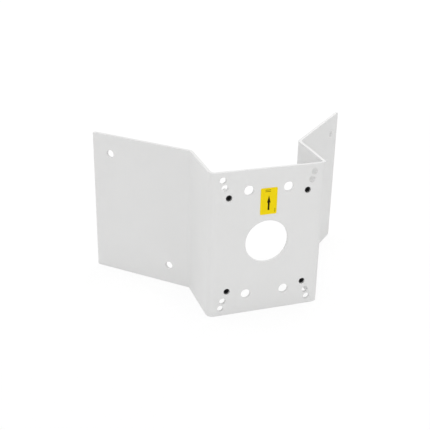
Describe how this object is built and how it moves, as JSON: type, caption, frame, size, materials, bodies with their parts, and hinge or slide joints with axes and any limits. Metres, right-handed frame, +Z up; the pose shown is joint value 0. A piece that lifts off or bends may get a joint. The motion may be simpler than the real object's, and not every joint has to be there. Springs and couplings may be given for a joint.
{
  "type": "camera corner mount bracket",
  "caption": "Folded sheet bracket that carries an outdoor camera on the outside corner of a building, with a drilled plate, two webs and two wings.",
  "frame": {"origin": "centre of the plate's front face, on the axis of the cable hole", "axes": "+Z up, -Y out of the plate's front towards the camera's arm, +X to the right in the front view"},
  "size_m": [0.3106, 0.1638, 0.17],
  "materials": {
    "powder_coat": "fine satin powder coat",
    "coated_nut": "satin powder coat",
    "black_steel": "black oxide",
    "yellow_film": "printed film"
  },
  "bodies": {
    "root": {"bracket_plate": "powder_coat", "weld_nuts": "coated_nut", "set_screws": "black_steel", "direction_label": "yellow_film"}
  },
  "joints": []
}
